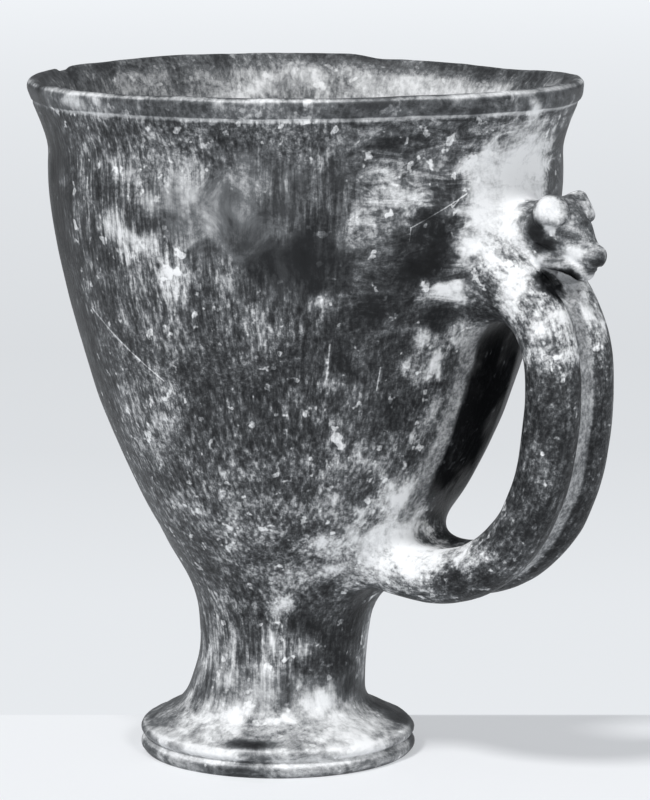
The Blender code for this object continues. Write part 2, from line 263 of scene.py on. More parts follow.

# Lime and wear on the turned body, with a painted shade, a painted reflection and a painted sheen among
# them: (azimuth in degrees,
# # height in mm, half across in mm, half up in mm, tilt in degrees, change of the cover)
BODY_PATCHES = (
    # On the lip and under it
    (-118, 165, 8, 9, 0, -0.05), (-92, 167, 13, 10, 0, 0.12), (-68, 168, 13, 8, 0, -0.06),
    (-104, 168, 6, 7, 0, 0.08), (-107, 177, 5, 2, 0, 0.3), (-60, 177.0, 70, 2.2, 0, 0.05),
    (-10, 176.5, 20, 2.0, 0, -0.06), (-35, 171, 14, 1.4, 8, 0.16),
    # Round the handle's upper root and between the roots
    (-2, 154, 13, 19, 0, 0.46), (-12, 152, 8, 12, 0, 0.26), (8, 162, 8, 14, 0, 0.24),
    (-3, 139, 11, 9, 0, 0.46), (4, 150, 4, 7, 0, 0.2), (14, 164, 4, 14, 0, -0.08),
    (-7, 160, 4, 3, 0, -0.2), (-16, 145, 3, 4, 0, -0.12), (-22, 150, 6, 9, 0, -0.32),
    (-27, 138, 7, 7, 0, -0.28), (-19.5, 123.5, 5, 3.5, 0, -0.34), (-12, 134, 5, 3, 0, -0.22),
    (-30, 100, 9, 10, 0, -0.06), (-13, 108, 4, 10, 0, -0.08), (-27, 157, 8, 6, 10, 0.12),
    (4, 158, 8, 8, 0, 0.08), (-30, 158, 12, 4, 20, 0.16), (-22, 122, 9, 8, 0, 0.16),
    (-10, 122, 7, 7, 0, 0.2), (-25.6, 129.8, 2.5, 3.0, 0, 0.3), (-22, 131, 3.0, 2.0, 0, 0.28),
    (-14, 129.5, 7.0, 1.4, 5, 0.34), (-12, 127, 5.0, 1.4, -15, 0.34), (-16, 132, 6.0, 1.2, 10, 0.3),
    (-24, 119, 1.9, 2.6, 0, 0.36), (-18.5, 113, 1.6, 2.4, 0, 0.34), (-27.5, 110.7, 1.6, 1.6, 0, 0.34),
    (-16.5, 99, 2.2, 5.0, -25, 0.42),
    # Over the middle and the left of the bowl
    (-100, 146, 3.2, 4.5, 0, 0.34), (-95, 141, 3.0, 5.0, -20, 0.28), (-88, 142, 4.5, 3.5, 30, 0.28),
    (-83, 134, 4.0, 7.0, -25, 0.26), (-72, 133, 5.0, 6.5, 0, 0.16), (-97, 131, 6.0, 6.0, 0, 0.1),
    (-128, 140, 9, 30, 0, -0.25), (-108, 155, 8, 9, 0, 0.06), (-128, 152, 8, 26, 0, -0.14),
    (-96, 154, 8, 9, 0, 0.09), (-57, 138, 13, 8, 0, -0.2), (-36, 128, 11, 16, 0, -0.15),
    (-33, 116, 6, 12, 0, -0.07), (-38, 151, 9, 6, 20, 0.15), (-42, 145, 6, 4, 0, 0.12),
    (-36, 121, 7, 6, 0, 0.09), (-106.5, 99, 3.0, 4.5, 0, 0.2), (-92, 107, 4.0, 4.0, 0, 0.16),
    (-48.7, 129, 2.8, 2.1, 0, 0.28), (-46.4, 107.4, 2.6, 1.6, 20, 0.36), (-66, 97, 15, 10, 0, -0.07),
    (-49, 109, 8, 8, 0, -0.05), (-36, 98, 7, 10, 0, 0.09), (-80, 161, 24, 11, 0, 0.05),
    # Painted sheen: lighter cover where the smooth burnish shows the light's broad sheen
    (-74, 151, 14, 8, 0, 0.09),
    # On the lower bowl and at the handle's lower root
    (-36, 64, 8, 7, -30, 0.2), (-13, 68, 7, 9, 0, 0.3), (-42, 82, 8, 9, 0, 0.12),
    (-47, 52, 7, 6, 0, 0.12), (-78, 66, 14, 14, 0, 0.08), (-104, 84, 9, 16, 0, 0.08),
    (-70, 74, 9, 12, 0, 0.05), (-22, 70, 6, 9, 0, 0.16), (-16, 58, 6, 6, 0, 0.2),
    # On the stem
    (-59, 39.5, 3, 4, 0, 0.22), (-41, 31, 2.5, 3, 0, 0.22), (-62, 33, 2.5, 3, 0, 0.18),
    # Of these, the second is a painted shade on the stem's right side and the third a painted reflection
    # along its right edge
    (-100, 35, 6, 12, 0, 0.06), (-6, 36, 8, 13, 0, -0.22), (22, 40, 5, 14, 0, 0.1),
    (-35, 44, 6, 10, 0, -0.12), (-22, 37, 5, 10, 0, 0.09),
    # On the foot
    (-76, 15, 10, 6, 0, 0.19), (-93, 12, 7, 4, 0, 0.12), (-16, 12.5, 10, 5, 0, 0.24),
    (3, 10.6, 8, 4, 0, 0.28), (-62, 20, 4, 5, 0, 0.14), (-30, 20, 5, 5, 0, 0.14),
    (-49, 18, 3, 5, 0, -0.1), (-52, 11, 9, 4, 0, 0.14), (-25, 12, 8, 4, 0, 0.12),
    (-112, 11, 12, 6, 0, 0.12), (-95, 29, 7, 8, 0, 0.14), (-59, 28, 6, 7, 0, 0.1),
    (-115, 22, 7, 7, 0, 0.12), (-111, 9.4, 6, 3, 0, 0.14), (-85, 5.5, 8, 1.2, 0, 0.24),
    (-60, 4, 70, 5, 0, 0.1), (-15, 5.5, 10, 1.2, 0, 0.24), (-62, 8.2, 5, 0.6, 0, -0.3),
    (-72, 1.6, 8, 1.2, 0, -0.16), (0, 3.5, 6, 1.6, 0, -0.12), (5, 7.5, 6, 1.2, 0, -0.16),
)

# The same inside the bowl
INNER_PATCHES = (
    (140, 170, 10, 1.3, -38, 0.26), (172, 170, 22, 12, 0, 0.06), (142, 172, 26, 9, 0, 0.12),
    (100, 172, 26, 9, 0, 0.3), (72, 172, 12, 9, 0, 0.08),
)

# Where the burnish is smooth: as above, with how smooth it is
CALM_PATCHES = ((-74, 150, 14, 8, 0, 0.85), (-56, 140, 12, 9, 0, 0.75), (-64, 160, 20, 7, 0, 0.35))

# Patches on the sides that the photograph hides: how many, and the seed that places them
HIDDEN_PATCHES = 26
PATCH_SEED = 11

# Lime on the handle and the head, and painted shade under the head's jaw and throat: (x, y, z of its middle
# and its half sizes, in mm, change of the cover)
BLOB_PATCHES = (
    # On the head
    (92.5, -9.5, 151.5, 5, 3.0, 4.2, 0.6), (93.5, 9.5, 151.0, 5, 3.5, 4.4, 0.24),
    (88.5, -7.4, 145.2, 4.8, 4, 3.8, -0.5), (98, -1, 145, 3, 6, 4, -0.16),
    (98.5, -2, 141, 3, 4, 3, 0.16), (96, -4, 140, 2.2, 2.2, 2.2, 0.34), (97, 0, 133.6, 4, 4, 1.8, 0.34),
    # The second patch here is a painted shade in the slit under the jaw
    (90.5, -7.6, 145.9, 1.1, 1.6, 1.2, 0.5), (89, -7.6, 141.2, 3.2, 2.0, 1.4, -0.4),
    # Painted shade in the hollow under the throat
    (89.5, -4.0, 132.6, 4.2, 4.4, 2.6, -2.4), (92, -2.0, 130.6, 3.2, 4.4, 3.2, -2.2),
    (90.5, -6, 135.6, 6, 3, 1.2, 0.2), (101, 0, 138, 1.8, 3, 1.6, -0.26),
    # On the handle's upper root
    (78, -6, 141, 11, 13, 9, 0.38), (87, -11, 124, 7, 6, 7, 0.26), (95, -2, 120, 6, 12, 8, 0.3),
    (86, 0, 131, 9, 13, 6, 0.46), (94, 5, 125, 5, 7, 7, 0.24), (92, -9, 121, 5, 5, 6, 0.14),
    (82, -9, 132, 7, 6, 5, 0.18),
    # On the handle's lower root
    (58, -7, 68, 11, 10, 9, 0.48), (53, -10, 63, 10, 8, 8, 0.36), (44, -14, 55, 13, 7, 7, 0.36),
    (72, -9, 61, 8, 7, 5, 0.22),
)

# Hairline scratches: azimuth in degrees and height in mm of both ends, and width in mm
SCRATCHES = (
    ((-16.2, 154.7), (-29.7, 147.1), 0.30), ((-29.7, 147.1), (-29.9, 143.8), 0.22),
    ((-34.0, 111.5), (-34.4, 105.6), 0.35),
    ((-114.0, 123.0), (-101.0, 113.5), 0.50), ((-101.0, 113.5), (-91.0, 106.5), 0.35),
    ((-18.3, 153.4), (-19.6, 151.9), 0.35), ((-46.9, 118.0), (-47.4, 109.0), 0.40),
)


def smooth_curve(stations, places):
    """Points of a smooth curve through the stations, at places counted in stations from the first."""
    stations = np.asarray(stations, float)
    index = np.minimum(places.astype(int), len(stations) - 2)
    share = (places - index)[:, None]
    before, start = stations[np.maximum(index - 1, 0)], stations[index]
    end, after = stations[index + 1], stations[np.minimum(index + 2, len(stations) - 1)]
    leave, arrive = (end - before) / 2, (after - start) / 2
    cube = 2 * start - 2 * end + leave + arrive
    square = 3 * end - 3 * start - 2 * leave - arrive
    return ((cube * share + square) * share + leave) * share + start


def fine_curve(stations, cuts=40):
    """The smooth curve through the stations, as many short steps."""
    last = len(stations) - 1
    return smooth_curve(stations, np.linspace(0, last, last * cuts + 1))


def spaced(line, spacing):
    """Points along a line, as far apart as spacing says at each place."""
    step = np.linalg.norm(np.diff(line, axis=0), axis=1)
    spacing = np.broadcast_to(spacing, len(line))
    counted = np.append(0.0, np.cumsum(step * 2 / (spacing[1:] + spacing[:-1])))
    wanted = np.linspace(0.0, counted[-1], max(2, round(counted[-1])) + 1)
    return np.column_stack([np.interp(wanted, counted, column) for column in line.T])


def drift_at(height):
    """How far the axis lies towards +X at a height."""
    shares, leans = np.array(DRIFT).T
    dense = np.linspace(0.0, 1.0, 181)
    drift = np.interp(dense, shares, leans)
    softened = np.convolve(np.pad(drift, 3, mode="edge"), np.ones(7) / 7, mode="valid")
    return LEAN * np.interp(height / HEIGHT, dense, softened)


def foot_edge():
    """The foot's edge, from its underside up over both rounded bands."""
    share = np.linspace(0.0, 1.0, BAND_ROWS)
    parts = []
    for start, end, bulge in FOOT_BANDS:
        inset = bulge * (2 * share - 1) ** 2
        parts.append(np.column_stack([FOOT_RADIUS - inset, FOOT_EDGE * (start + (end - start) * share)]))
    return np.vstack(parts)


def side_line():
    """The outside from the top of the foot's edge to just under the lip's round top."""
    edge_radius = FOOT_RADIUS - UPPER_BAND_BULGE
    lip_height, neck_height = HEIGHT - LIP_THICKNESS / 2, HEIGHT - NECK_DROP
    stations = []
    for shares, (r0, z0), (r1, z1) in (
            (FOOT_OUTLINE, (STEM_RADIUS, FOOT_EDGE), (edge_radius, STEM_WAIST)),
            (BOWL_OUTLINE, (STEM_RADIUS, STEM_WAIST), (NECK_RADIUS, neck_height)),
            (LIP_OUTLINE, (NECK_RADIUS, neck_height), (RIM_RADIUS, lip_height))):
        stations += [(r0 + (r1 - r0) * out, z0 + (z1 - z0) * up) for out, up in shares]
    return fine_curve(stations + [(RIM_RADIUS, lip_height)])


def inside_line():
    """The inside of the bowl from under the lip down to its rounded floor."""
    line = side_line()
    slope = np.gradient(line, axis=0)
    slope /= np.linalg.norm(slope, axis=1)[:, None]
    inner = line + WALL * np.column_stack([-slope[:, 1], slope[:, 0]])
    inner = inner[np.argsort(inner[:, 1])]
    floor, top = HEIGHT - HOLLOW_DEPTH, HEIGHT - LIP_THICKNESS
    height = np.linspace(top, floor, 400)
    radius = np.minimum(np.interp(height, inner[:, 1], inner[:, 0]), RIM_RADIUS - LIP_THICKNESS)
    low = np.clip(1 - (height - floor) / STEM_RADIUS, 0, 1)
    return np.column_stack([radius * np.sqrt(np.clip(1 - low ** FLOOR_ROUNDNESS, 0, 1)), height])


def lip_round():
    """The lip's round top, from outside to inside."""
    half = LIP_THICKNESS / 2
    turn = np.radians(np.linspace(*LIP_SWEEP, LIP_ROWS))
    return np.column_stack([RIM_RADIUS - half + half * np.cos(turn), HEIGHT - half + half * np.sin(turn)])


def outer_outline():
    """The outside as a fine line from the middle of the underside to the middle of a closed top."""
    return np.vstack([[(0.0, 0.0)], foot_edge(), side_line(), lip_round(), [(0.0, HEIGHT)]])


def turned_outline():
    """The rows of the turned body, from the middle of its underside round to the middle of its floor."""
    flat = np.linspace(0.0, FOOT_RADIUS - LOWER_BAND_BULGE - EDGE_SPACING, UNDERSIDE_ROWS)
    under = np.column_stack([flat, np.zeros(UNDERSIDE_ROWS)])
    side = side_line()
    near_edge = np.minimum(side[:, 1] - FOOT_EDGE, HEIGHT - side[:, 1])
    growing = EDGE_SPACING + (near_edge - FINE_ZONE) * SPACING_GROWTH
    side = spaced(side, np.clip(growing, EDGE_SPACING, BODY_SPACING))
    inside = inside_line()
    growing = EDGE_SPACING + (HEIGHT - inside[:, 1]) * INNER_GROWTH
    inside = spaced(inside, np.clip(growing, EDGE_SPACING, INNER_SPACING))
    return np.vstack([under, foot_edge(), side[1:], lip_round(), inside])


def table_grid(low, high):
    """The grid places of a table between two corners."""
    return np.meshgrid(*[np.arange(a, b, TABLE_STEP) for a, b in zip(low, high)], indexing="ij")


def profile_table(outline):
    """The signed distance from a solid's outline, over a grid of radius and height."""
    radius, height = table_grid(PROFILE_LOW, PROFILE_HIGH)
    nearest = np.full(radius.shape, 1.0)
    inside = np.zeros(radius.shape, bool)
    for (r0, z0), (r1, z1) in zip(outline, outline[1:]):
        out, up = r1 - r0, z1 - z0
        share = np.clip(((radius - r0) * out + (height - z0) * up) / (out * out + up * up + 1e-18), 0, 1)
        nearest = np.minimum(nearest, np.hypot(radius - r0 - share * out, height - z0 - share * up))
        if z0 != z1:
            inside ^= ((z0 > height) != (z1 > height)) & (radius < r0 + (height - z0) / up * out)
    return np.where(inside, -nearest, nearest)


def read_table(table, low, across, up):
    """A table's values between its grid points."""
    column = np.clip((across - low[0]) / TABLE_STEP, 0, table.shape[0] - 1.001)
    row = np.clip((up - low[1]) / TABLE_STEP, 0, table.shape[1] - 1.001)
    i, j = column.astype(int), row.astype(int)
    a, b = column - i, row - j
    near = table[i, j] * (1 - b) + table[i, j + 1] * b
    far = table[i + 1, j] * (1 - b) + table[i + 1, j + 1] * b
    return near * (1 - a) + far * a


def wall_at(height):
    """How far along +X the outside of the wall is at a height."""
    side = side_line()
    side = side[np.argsort(side[:, 1])]
    return drift_at(height) + np.interp(height, side[:, 1], side[:, 0])


def handle_route():
    """The handle's centre line, as (x, z) points."""
    rise = HANDLE_TOP - HANDLE_LOW
    top_wall, low_wall = wall_at(HANDLE_TOP), wall_at(HANDLE_LOW)
    outermost = top_wall + HANDLE_STANDOFF
    stations = []
    for wall, shares in ((top_wall, UPPER_ROUTE), (low_wall, LOWER_ROUTE)):
        stations += [(wall + (outermost - wall) * out, HANDLE_LOW + rise * up) for out, up in shares]
    return spaced(fine_curve(stations), ROUTE_SPACING)


def route_tables(route):
    """Over a grid of x and z: how far outward of the handle's line a point is, and how far along it."""
    x, z = table_grid(ROUTE_LOW, ROUTE_HIGH)
    nearest = np.full(x.shape, 1.0)
    outward, along = np.zeros(x.shape), np.zeros(x.shape)
    passed = 0.0
    for (x0, z0), (x1, z1) in zip(route, route[1:]):
        ahead, up = x1 - x0, z1 - z0
        length = math.hypot(ahead, up)
        share = np.clip(((x - x0) * ahead + (z - z0) * up) / length ** 2, 0, 1)
        gap = np.hypot(x - x0 - share * ahead, z - z0 - share * up)
        side = np.sign((z - z0) * ahead - (x - x0) * up)
        closer = gap < nearest
        nearest = np.where(closer, gap, nearest)
        outward = np.where(closer, gap * side, outward)
        along = np.where(closer, passed + share * length, along)
        passed += length
    return outward, along, passed


def melt(a, b, reach):
    """The nearer of two distances, with a smooth fillet where they meet."""
    share = np.clip(0.5 + 0.5 * (b - a) / reach, 0, 1)
    return b + (a - b) * share - reach * share * (1 - share)


def step_up(low, high, value):
    """A smooth step from 0 at low to 1 at high."""
    share = np.clip((value - low) / (high - low), 0, 1)
    return share * share * (3 - 2 * share)


def ball(points, middle, radii):
    """The distance from an ellipsoid."""
    away = (points - np.array(middle)) / np.array(radii)
    far = np.linalg.norm(away, axis=1) + 1e-9
    return far * (far - 1) / (np.linalg.norm(away / np.array(radii), axis=1) + 1e-9)


def limb(points, start, start_radius, end, end_radius):
    """The distance from a tapering limb with round ends."""
    start, end = np.array(start), np.array(end)
    axis = end - start
    share = np.clip(((points - start) @ axis) / (axis @ axis), 0, 1)
    nearest = start + share[:, None] * axis
    return np.linalg.norm(points - nearest, axis=1) - (start_radius + (end_radius - start_radius) * share)


def ear(points):
    """The distance from a short round ear, cupped in front and rounded at its edge."""
    facing = np.array(EAR_FACING) / np.linalg.norm(EAR_FACING)
    away = points - np.array(EAR_MIDDLE)
    ahead = away @ facing
    across = np.linalg.norm(away - ahead[:, None] * facing, axis=1)
    half = EAR_LENGTH / 2
    side = across - (EAR_RADIUS - EAR_ROUND)
    end = np.abs(ahead + half) - (half - EAR_ROUND)
    outside = np.hypot(np.maximum(side, 0), np.maximum(end, 0))
    width, depth = EAR_CUP
    cup = depth * np.exp(-(across / width) ** 2) * (ahead > -half)
    return np.minimum(np.maximum(side, end), 0) + outside - EAR_ROUND + cup


def head_distance(points):
    """The distance from the animal's neck, skull, muzzle and ears."""
    places = points - SKULL
    places[:, 1] = np.abs(places[:, 1])
    form = melt(ball(places, (0, 0, 0), SKULL_RADII), limb(places, *NECK_FORM), HEAD_BLEND * 2)
    form = melt(form, ball(places, *CHEEK_FORM), HEAD_BLEND)
    form = melt(form, limb(places, *MUZZLE_FORM), HEAD_BLEND * 1.5)
    form = melt(form, ball(places, *NOSE_FORM), HEAD_BLEND * 0.6)
    form = melt(form, limb(places, *JAW_FORM), HEAD_BLEND * 0.6)
    form = melt(form, ball(places, *CHIN_FORM), HEAD_BLEND * 0.6)
    form = melt(form, limb(places, *BROW_FORM), HEAD_BLEND)
    form = melt(form, ear(places), HEAD_BLEND * 0.4)
    form = melt(form, ball(places, *EYE_FORM), HEAD_BLEND * 0.25)
    for start, end, width, depth in (JAW_SLIT, MOUTH):
        form += depth * np.exp(-(limb(places, start, 0.0, end, 0.0) / width) ** 2)
    spot, width, depth = NOSTRIL
    form += depth * np.exp(-(np.linalg.norm(places - np.array(spot), axis=1) / width) ** 2)
    return form


class Clay:
    """The goblet's form as distances, negative inside the clay."""

    def __init__(self):
        self.profile = profile_table(outer_outline())
        self.outward, self.along, self.length = route_tables(handle_route())

    def body(self, points):
        """The distance from the turned body, taken as solid."""
        radius = np.hypot(points[:, 0] - drift_at(points[:, 2]), points[:, 1])
        return read_table(self.profile, PROFILE_LOW, radius, points[:, 2])

    def on_route(self, points):
        """How far outward of the handle's line and how far along it the points are."""
        return (read_table(self.outward, ROUTE_LOW, points[:, 0], points[:, 2]),
                read_table(self.along, ROUTE_LOW, points[:, 0], points[:, 2]))

    def strap(self, points):
        """The distance from the two joined rolls."""
        outward, along = self.on_route(points)
        from_root = np.minimum(along, self.length - along) / (2 * ROLL_RADIUS)
        spread = ROOT_SPREAD / ROLL_RADIUS * np.exp(-from_root ** 2)
        side = np.abs(points[:, 1]) / (1 + ROOT_WIDENING * spread)
        outward = outward / (1 + spread)
        middle = ROLL_SPACING / 2
        roll = np.hypot(side - middle, outward) - ROLL_RADIUS
        floor = outward - (ROLL_RADIUS - CHANNEL_DEPTH)
        under = -outward - (ROLL_RADIUS - UNDERSIDE_DEPTH)
        web = np.maximum(np.maximum(floor, under), side - middle)
        return melt(roll, web, CHANNEL_FILLET)

    def head(self, points):
        """The distance from the head, counted only near it."""
        near = (points[:, 0] > HEAD_ZONE[0]) & (points[:, 2] > HEAD_ZONE[1])
        distance = np.full(len(points), FAR_AWAY)
        distance[near] = head_distance(points[near])
        return distance

    def whole(self, points, body=None):
        """The distance from the whole outside, with fillets where the parts meet."""
        if body is None:
            body = self.body(points)
        rooted = melt(body, self.strap(points), ROOT_FILLET)
        reach = NECK_FILLET + (THROAT_FILLET - NECK_FILLET) * step_up(*THROAT_ZONE, points[:, 0])
        form = melt(rooted, self.head(points), reach)
        places = points - SKULL
        places[:, 1] = np.abs(places[:, 1])
        for hollow in THROATS:
            form = np.maximum(form, -ball(places, *hollow))
        return form

    def handle_piece(self, points):
        """The distance from the handle and the head with a thin skirt just under the body's surface."""
        body = self.body(points)
        reach = np.minimum(self.strap(points), self.head(points)) - ROOT_FILLET - 6 * SKIRT
        form = self.whole(points, body + SKIRT)
        return np.maximum(np.maximum(form, -body - WALL / 2), reach)

    def settle(self, points, field, steps=3, most=None):
        """Moves points along the field's slope onto its surface."""
        placed = points.copy()
        for _ in range(steps):
            distance = field(placed)
            slope = np.empty_like(placed)
            for axis in range(3):
                shift = np.zeros(3)
                shift[axis] = SLOPE_REACH
                slope[:, axis] = (field(placed + shift) - field(placed - shift)) / (2 * SLOPE_REACH)
            steepness = np.maximum((slope ** 2).sum(1), 0.2)
            move = slope * (distance / steepness)[:, None]
            if most is not None:
                size = np.linalg.norm(move, axis=1)
                move *= np.minimum(1.0, most / np.maximum(size, 1e-12))[:, None]
            placed -= move
        return placed


def graded_axis(low, high, fine_low, fine_high):
    """Grid places along an axis, close together between fine_low and fine_high."""
    before = np.arange(low, fine_low, COARSE_CELL)
    middle = np.arange(fine_low, fine_high, FINE_CELL)
    after = np.arange(fine_high, high, COARSE_CELL)
    return np.concatenate([before, middle, after])


def fill_doubtful(inside):
    """Fills in grid points in place until no two parts of the surface between them share an edge."""
    filled = -1
    while filled != inside.sum():
        filled = inside.sum()
        for axis in range(3):
            layer = np.moveaxis(inside, axis, 2)
            a, b, c, d = layer[:-1, :-1], layer[1:, 1:], layer[1:, :-1], layer[:-1, 1:]
            doubtful = (a & b & ~c & ~d) | (~a & ~b & c & d)
            for corner in (a, b, c, d):
                corner |= doubtful


def net_over(field, axes):
    """Vertices and quads of the surface where a field is zero, one vertex in each cell that it crosses."""
    grid = np.stack(np.meshgrid(*axes, indexing="ij"), axis=-1)
    slabs = [field(slab.reshape(-1, 3)).reshape(slab.shape[:2]) for slab in grid]
    inside = np.stack(slabs) < 0
    fill_doubtful(inside)
    cells = np.zeros([size - 1 for size in inside.shape], int)
    for corner in np.ndindex(2, 2, 2):
        cells += inside[tuple(slice(c, c - 1 or None) for c in corner)]
    crossed = (cells > 0) & (cells < 8)
    numbers = np.full(cells.shape, -1)
    numbers[crossed] = np.arange(crossed.sum())
    places = np.argwhere(crossed)
    vertices = np.column_stack([(axis[p] + axis[p + 1]) / 2 for axis, p in zip(axes, places.T)])
    quads = []
    for axis in range(3):
        low, high = [slice(1, -1)] * 3, [slice(1, -1)] * 3
        low[axis], high[axis] = slice(None, -1), slice(1, None)
        start, end = inside[tuple(low)], inside[tuple(high)]
        edges = np.argwhere(start != end)
        leaving = start[tuple(edges.T)]
        step_u, step_v = np.eye(3, dtype=int)[[(axis + 1) % 3, (axis + 2) % 3]]
        ring = [numbers[tuple((edges + step).T)] for step in (0 * step_u, step_u, step_u + step_v, step_v)]
        found = np.column_stack(ring)
        quads.append(np.where(leaving[:, None], found, found[:, ::-1]))
    return vertices, np.vstack(quads)


def link(obj):
    """Puts an object into the scene."""
    bpy.context.scene.collection.objects.link(obj)
    return obj


def mesh_object(name, vertices, faces):
    """A new object from arrays of points and faces."""
    mesh = bpy.data.meshes.new(name)
    mesh.from_pydata(vertices.tolist(), [], faces.tolist())
    mesh.shade_smooth()
    return link(bpy.data.objects.new(name, mesh))


def applied(obj, name):
    """A new plain object from what an object's modifiers make of it. The first object is removed."""
    graph = bpy.context.evaluated_depsgraph_get()
    mesh = bpy.data.meshes.new_from_object(obj.evaluated_get(graph))
    made = bpy.data.objects.new(name, mesh)
    bpy.data.objects.remove(obj, do_unlink=True)
    made.name = name
    mesh.name = name
    return link(made)


def points_of(mesh):
    """A mesh's vertices as an array."""
    flat = np.empty(len(mesh.vertices) * 3, np.float32)
    mesh.vertices.foreach_get("co", flat)
    return flat.reshape(-1, 3).astype(float)


def normals_of(mesh):
    """A mesh's vertex normals as an array."""
    flat = np.empty(len(mesh.vertices) * 3, np.float32)
    mesh.vertices.foreach_get("normal", flat)
    return flat.reshape(-1, 3).astype(float)


def add_node(tree, kind, inputs=None, **settings):
    """A node with settings and inputs given by name or number, where an input may be another's output."""
    made = tree.nodes.new(kind)
    for name, value in settings.items():
        setattr(made, name, value)
    for key, value in (inputs or {}).items():
        if isinstance(value, bpy.types.NodeSocket):
            tree.links.new(value, made.inputs[key])
        else:
            made.inputs[key].default_value = value
    return made


def calculate(tree, operation, *values, clamp=False):
    """The output of a Math node."""
    inputs = dict(enumerate(values))
    return add_node(tree, 'ShaderNodeMath', inputs, operation=operation, use_clamp=clamp).outputs[0]


def add_sockets(tree, direction, sockets):
    """Named sockets on a node group, each with its type and, where it has one, its default."""
    for name, kind, *default in sockets:
        socket = tree.interface.new_socket(name, in_out=direction, socket_type="NodeSocket" + kind)
        if default:
            socket.default_value = default[0]


def set_modifier_input(modifier, name, value):
    """Sets a Geometry Nodes modifier's input through its socket's identifier."""
    for item in modifier.node_group.interface.items_tree:
        if item.item_type == 'SOCKET' and item.in_out == 'INPUT' and item.name == name:
            modifier[item.identifier] = value
            return
    raise KeyError(name)


def turning_tree():
    """Geometry Nodes that turn a profile's points, each (radius, drift, height), into a closed body."""
    tree = bpy.data.node_groups.new("Turn on the wheel", 'GeometryNodeTree')
    add_sockets(tree, 'INPUT', (("Profile", "Geometry"), ("Rows", "Int", 10), ("Turns", "Int", 32),
                                ("Merge Distance", "Float", 0.000001), ("Material", "Material")))
    add_sockets(tree, 'OUTPUT', (("Body", "Geometry"),))
    given = tree.nodes.new('NodeGroupInput').outputs
    columns = calculate(tree, 'ADD', given["Turns"], 1.0)
    grid = add_node(tree, 'GeometryNodeMeshGrid', {"Vertices X": columns, "Vertices Y": given["Rows"]})
    index = tree.nodes.new('GeometryNodeInputIndex').outputs[0]
    row = calculate(tree, 'MODULO', index, given["Rows"])
    column = calculate(tree, 'FLOOR', calculate(tree, 'DIVIDE', index, given["Rows"]))
    angle = calculate(tree, 'MULTIPLY', calculate(tree, 'DIVIDE', column, given["Turns"]), math.tau)
    sample = add_node(tree, 'GeometryNodeSampleIndex', data_type='FLOAT_VECTOR')
    tree.links.new(given["Profile"], sample.inputs["Geometry"])
    tree.links.new(tree.nodes.new('GeometryNodeInputPosition').outputs[0], sample.inputs["Value"])
    tree.links.new(row, sample.inputs["Index"])
    parts = add_node(tree, 'ShaderNodeSeparateXYZ', {0: sample.outputs[0]}).outputs
    out = calculate(tree, 'MULTIPLY', parts["X"], calculate(tree, 'COSINE', angle))
    across = calculate(tree, 'MULTIPLY', parts["X"], calculate(tree, 'SINE', angle))
    place = add_node(tree, 'ShaderNodeCombineXYZ',
                     {"X": calculate(tree, 'ADD', out, parts["Y"]), "Y": across, "Z": parts["Z"]})
    turned = add_node(tree, 'GeometryNodeSetPosition', {"Geometry": grid.outputs["Mesh"],
                                                        "Position": place.outputs[0]})
    closed = add_node(tree, 'GeometryNodeMergeByDistance', {"Geometry": turned.outputs[0],
                                                           "Distance": given["Merge Distance"]})
    real = add_node(tree, 'GeometryNodeRealizeInstances', {"Geometry": closed.outputs[0]})
    finished = add_node(tree, 'GeometryNodeSetMaterial', {"Geometry": real.outputs[0],
                                                         "Material": given["Material"]})
    tree.links.new(finished.outputs[0], tree.nodes.new('NodeGroupOutput').inputs[0])
    return tree


def turned_body(material, turns):
    """Foot, stem and hollow bowl, turned by Geometry Nodes."""
    outline = turned_outline()
    profile = np.column_stack([outline[:, 0], drift_at(outline[:, 1]), outline[:, 1]])
    obj = mesh_object("profile", profile, np.empty((0, 3), int))
    modifier = obj.modifiers.new("Turn on the wheel", 'NODES')
    modifier.node_group = turning_tree()
    set_modifier_input(modifier, "Rows", len(outline))
    set_modifier_input(modifier, "Turns", turns)
    set_modifier_input(modifier, "Material", material)
    body = applied(obj, "turned body")
    shape = bmesh.new()
    shape.from_mesh(body.data)
    bmesh.ops.recalc_face_normals(shape, faces=shape.faces)
    shape.to_mesh(body.data)
    shape.free()
    return body


def modelled_handle(clay):
    """The handle and the head as one closed mesh, thinned where it is plain."""
    axes = [graded_axis(*limits) for limits in HANDLE_GRID]
    vertices, quads = net_over(clay.handle_piece, axes)
    vertices = clay.settle(vertices, clay.handle_piece, most=COARSE_CELL / 2)
    obj = mesh_object("modelled handle", vertices, quads)
    thin = obj.modifiers.new("Thin", 'DECIMATE')
    thin.ratio = min(1.0, HANDLE_TRIANGLES / (2 * len(quads)))
    return applied(obj, "handle")


def joined_clay(body, handle, clay):
    """One closed mesh of the body with its handle, smoothed onto the fillets where they meet."""
    join = body.modifiers.new("Join", 'BOOLEAN')
    join.operation = 'UNION'
    join.object = handle
    join.solver = 'MANIFOLD'
    joined = applied(body, "goblet_clay")
    bpy.data.objects.remove(handle, do_unlink=True)
    shape = bmesh.new()
    shape.from_mesh(joined.data)
    bmesh.ops.remove_doubles(shape, verts=shape.verts, dist=WELD)
    bmesh.ops.triangulate(shape, faces=shape.faces)
    shape.to_mesh(joined.data)
    shape.free()
    points = points_of(joined.data)
    if points[:, 0].max() < wall_at(HANDLE_TOP) + HANDLE_STANDOFF:
        raise RuntimeError("the handle was lost when the clay was joined")
    near = np.minimum(clay.strap(points), clay.head(points)) < ROOT_FILLET + 0.002
    near &= clay.body(points) > -0.0008
    points[near] = clay.settle(points[near], clay.whole, most=0.0004)
    joined.data.vertices.foreach_set("co", points.astype(np.float32).ravel())
    joined.data.update()
    joined.data.shade_smooth()
    return joined


def lumps(points, size, seed, octaves=3):
    """Soft noise from about -1 to 1, with lumps as wide as size, which may be given for each axis."""
    scaled = points / np.broadcast_to(size, 3) + seed * 7.31
    return np.array([noise.fractal(place, 1.0, 2.0, octaves) for place in scaled.tolist()])


